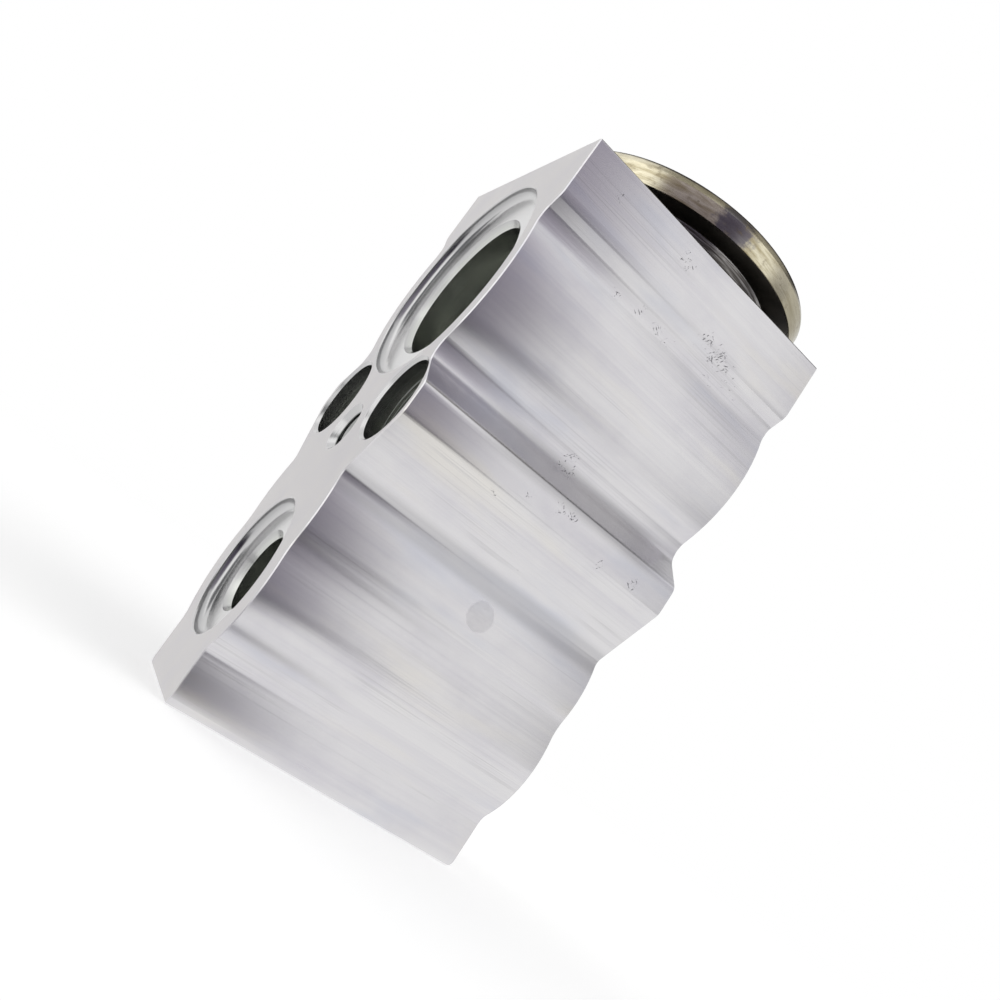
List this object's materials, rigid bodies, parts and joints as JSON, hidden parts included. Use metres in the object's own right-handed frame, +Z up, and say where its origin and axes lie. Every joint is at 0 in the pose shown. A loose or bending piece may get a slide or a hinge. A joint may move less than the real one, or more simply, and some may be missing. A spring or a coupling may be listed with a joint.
{
  "type": "thermostatic expansion valve",
  "caption": "Block-type thermostatic expansion valve for a vehicle air-conditioning evaporator: aluminium body with refrigerant ports, power head, ball valve and adjusting screw.",
  "frame": {"origin": "where the stem axis meets the underside of the foot", "axes": "+Z up the stem axis to the power head; -Y out of the front face, which has the liquid inlet; +Y out of the back face, towards the evaporator; +X across the block"},
  "size_m": [0.0382, 0.0401, 0.0804],
  "materials": {
    "block_aluminium": "bare, extruded sides with die lines and machined faces",
    "top_cover_steel": "yellow passivated, mottled",
    "lower_cover_steel": "dark phosphated",
    "machined_steel": "turned",
    "diaphragm_steel": "bright rolled sheet",
    "spring_steel": "drawn wire",
    "hard_steel": "ground and polished",
    "rod_aluminium": "turned",
    "screw_brass": "turned",
    "seal_rubber": "moulded, matt"
  },
  "bodies": {
    "valve_body": {"valve_block": "block_aluminium", "head_top_cover": "top_cover_steel", "head_lower_cover": "lower_cover_steel", "head_neck": "machined_steel", "head_seal": "seal_rubber", "diaphragm": "diaphragm_steel", "charge_plug": "machined_steel", "rod_seal": "seal_rubber", "seal_washer": "machined_steel", "seal_retainer": "spring_steel", "valve_seat": "hard_steel", "superheat_spring": "spring_steel"},
    "stem": {"diaphragm_stopper": "machined_steel", "sensing_rod": "rod_aluminium", "push_pin": "hard_steel", "valve_ball": "hard_steel", "ball_carrier": "machined_steel", "damper_spring": "spring_steel"},
    "adjuster_ring": {"adjuster_seal": "seal_rubber"},
    "adjuster_screw": {"adjusting_screw": "screw_brass"}
  },
  "joints": [
    {"name": "stem_travel", "type": "slide", "parent": "valve_body", "child": "stem", "axis": [0, 0, -1], "range_m": [0, 0.0008], "stiffness_N_per_m": 8000, "springref_m": -0.005, "deforming": ["superheat_spring", "diaphragm"]},
    {"name": "adjuster_travel", "type": "slide", "parent": "valve_body", "child": "adjuster_ring", "axis": [0, 0, 1], "range_m": [-0.00101, 0.00101], "deforming": ["superheat_spring"]},
    {"name": "adjuster_turn", "type": "hinge", "parent": "adjuster_ring", "child": "adjuster_screw", "pos_m": [0, 0, 0], "axis": [0, 0, 1], "range_deg": [-360, 360]}
  ],
  "couplings": [
    {"joint": "adjuster_travel", "follows": "adjuster_turn", "m_per_rad": 0.00015915}
  ]
}
